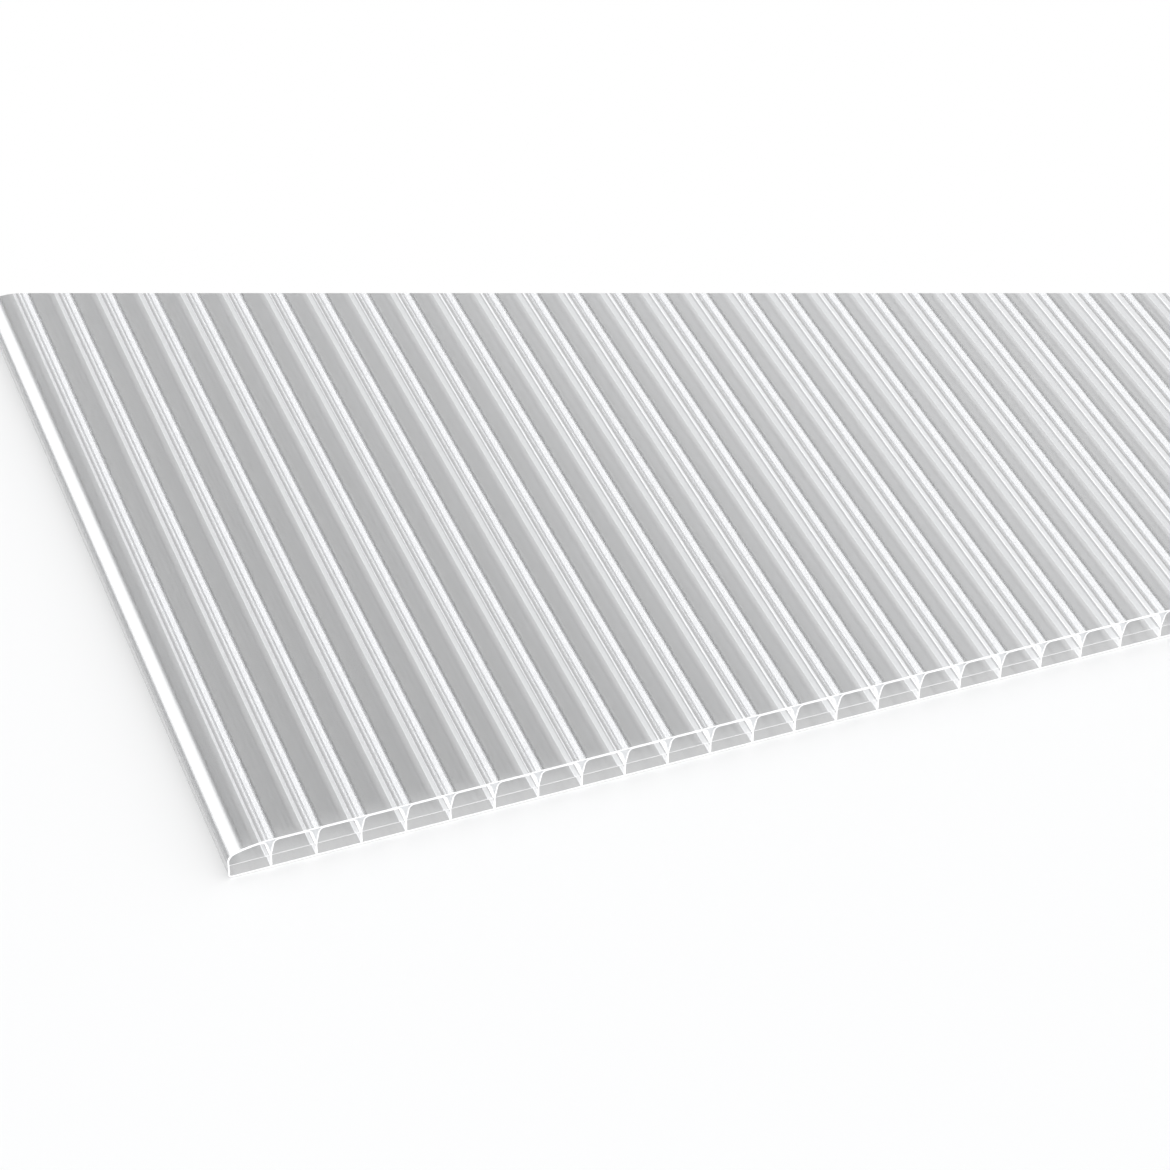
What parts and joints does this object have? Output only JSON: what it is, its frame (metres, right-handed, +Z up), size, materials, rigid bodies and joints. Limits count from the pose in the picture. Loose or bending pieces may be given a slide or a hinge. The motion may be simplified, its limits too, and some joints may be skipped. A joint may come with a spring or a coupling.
{
  "type": "multiwall polycarbonate sheet",
  "caption": "Clear multiwall glazing sheet: hollow cells between a top, a middle and a bottom wall, joined by upright ribs that widen toward the top, with closed rounded long edges.",
  "frame": {"origin": "middle of the underside", "axes": "+X across the width, +Y along the length and the hollow cells, +Z up through the thickness"},
  "size_m": [0.98, 2, 0.016],
  "materials": {
    "clear_polycarbonate": "clear, glossy, sawn ends matt"
  },
  "bodies": {
    "root": {"multiwall_sheet": "clear_polycarbonate"}
  },
  "joints": []
}
